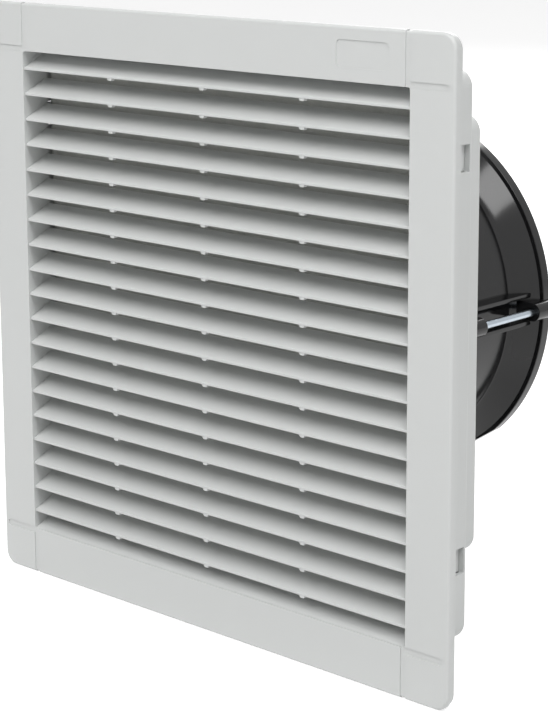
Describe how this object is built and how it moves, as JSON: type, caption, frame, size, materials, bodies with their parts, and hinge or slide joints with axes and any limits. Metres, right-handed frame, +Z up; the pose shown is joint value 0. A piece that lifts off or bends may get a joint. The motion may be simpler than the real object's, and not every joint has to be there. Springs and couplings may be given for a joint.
{
  "type": "filter fan",
  "caption": "Square louvred filter fan for a cabinet door: clip-off front cover with filter mat, stepped mounting frame, panel clips and a round axial fan behind.",
  "frame": {"origin": "centre of the flange's back face, which seats on the panel", "axes": "+Z up, the louvred front faces -Y, the fan points to +Y, +X to the right seen from the front"},
  "size_m": [0.32, 0.1698, 0.32],
  "materials": {
    "cover_plastic": "satin",
    "base_plastic": "satin",
    "clip_plastic": "satin",
    "filter_fibre": "fluffy bonded fibre",
    "seal_foam": "fine cell foam",
    "housing_black": "gloss enamel",
    "guard_wire": "bright plated",
    "zinc_steel": "zinc plated",
    "impeller_black": "satin",
    "rotor_steel": "satin",
    "cage_aluminium": "as cast",
    "bright_steel": "ground",
    "dark_steel": "phosphated",
    "lamination_steel": "stacked sheet",
    "bobbin_plastic": "matt",
    "winding_copper": "enamelled",
    "terminal_plastic": "matt",
    "clamp_brass": "bright",
    "lead_sheath": "satin",
    "core_brown": "satin",
    "core_blue": "satin",
    "clip_black": "matt",
    "earth_sheath": "satin",
    "label_foil": "plain foil"
  },
  "bodies": {
    "mounting_base": {"base_frame": "base_plastic", "panel_seal": "seal_foam", "mat_grid": "base_plastic", "fan_housing": "housing_black", "outlet_flare": "housing_black", "motor_bracket": "housing_black", "finger_guard": "guard_wire", "fan_screws": "zinc_steel", "fan_washers": "zinc_steel", "fan_nuts": "zinc_steel", "stator_core": "lamination_steel", "stator_bobbins": "bobbin_plastic", "stator_windings": "winding_copper", "bearing_front": "bright_steel", "bearing_rear": "bright_steel", "preload_spring": "dark_steel", "terminal_block": "terminal_plastic", "terminal_clamps": "clamp_brass", "terminal_screws": "zinc_steel", "terminal_fixings": "zinc_steel", "motor_lead": "lead_sheath", "core_lower": "core_brown", "core_middle": "core_blue", "lead_clip": "clip_black", "earth_lead": "earth_sheath", "earth_tag": "clamp_brass", "earth_screw": "zinc_steel", "rating_label": "label_foil"},
    "cover": {"front_cover": "cover_plastic", "louvre_grille": "cover_plastic", "filter_mat": "filter_fibre"},
    "rotor": {"impeller": "impeller_black", "rotor_can": "rotor_steel", "rotor_cage": "cage_aluminium", "shaft": "bright_steel", "shaft_clip": "dark_steel"},
    "clip_right_top": {"clip_right_top": "clip_plastic"},
    "clip_right_bottom": {"clip_right_bottom": "clip_plastic"},
    "clip_left_top": {"clip_left_top": "clip_plastic"},
    "clip_left_bottom": {"clip_left_bottom": "clip_plastic"}
  },
  "joints": [
    {"name": "cover_pull", "type": "slide", "parent": "mounting_base", "child": "cover", "axis": [0, -1, 0], "range_m": [0, 0.045]},
    {"name": "impeller_spin", "type": "hinge", "parent": "mounting_base", "child": "rotor", "pos_m": [0, 0.12, 0], "axis": [0, 1, 0], "continuous": true},
    {"name": "clip_right_top_press", "type": "hinge", "parent": "mounting_base", "child": "clip_right_top", "pos_m": [0.1356, 0.0266, 0.0984], "axis": [0, 0, -1], "range_deg": [0, 5], "stiffness_Nm_per_rad": 0.4},
    {"name": "clip_right_bottom_press", "type": "hinge", "parent": "mounting_base", "child": "clip_right_bottom", "pos_m": [0.1356, 0.0266, -0.0984], "axis": [0, 0, -1], "range_deg": [0, 5], "stiffness_Nm_per_rad": 0.4},
    {"name": "clip_left_top_press", "type": "hinge", "parent": "mounting_base", "child": "clip_left_top", "pos_m": [-0.1356, 0.0266, 0.0984], "axis": [0, 0, 1], "range_deg": [0, 5], "stiffness_Nm_per_rad": 0.4},
    {"name": "clip_left_bottom_press", "type": "hinge", "parent": "mounting_base", "child": "clip_left_bottom", "pos_m": [-0.1356, 0.0266, -0.0984], "axis": [0, 0, 1], "range_deg": [0, 5], "stiffness_Nm_per_rad": 0.4}
  ]
}
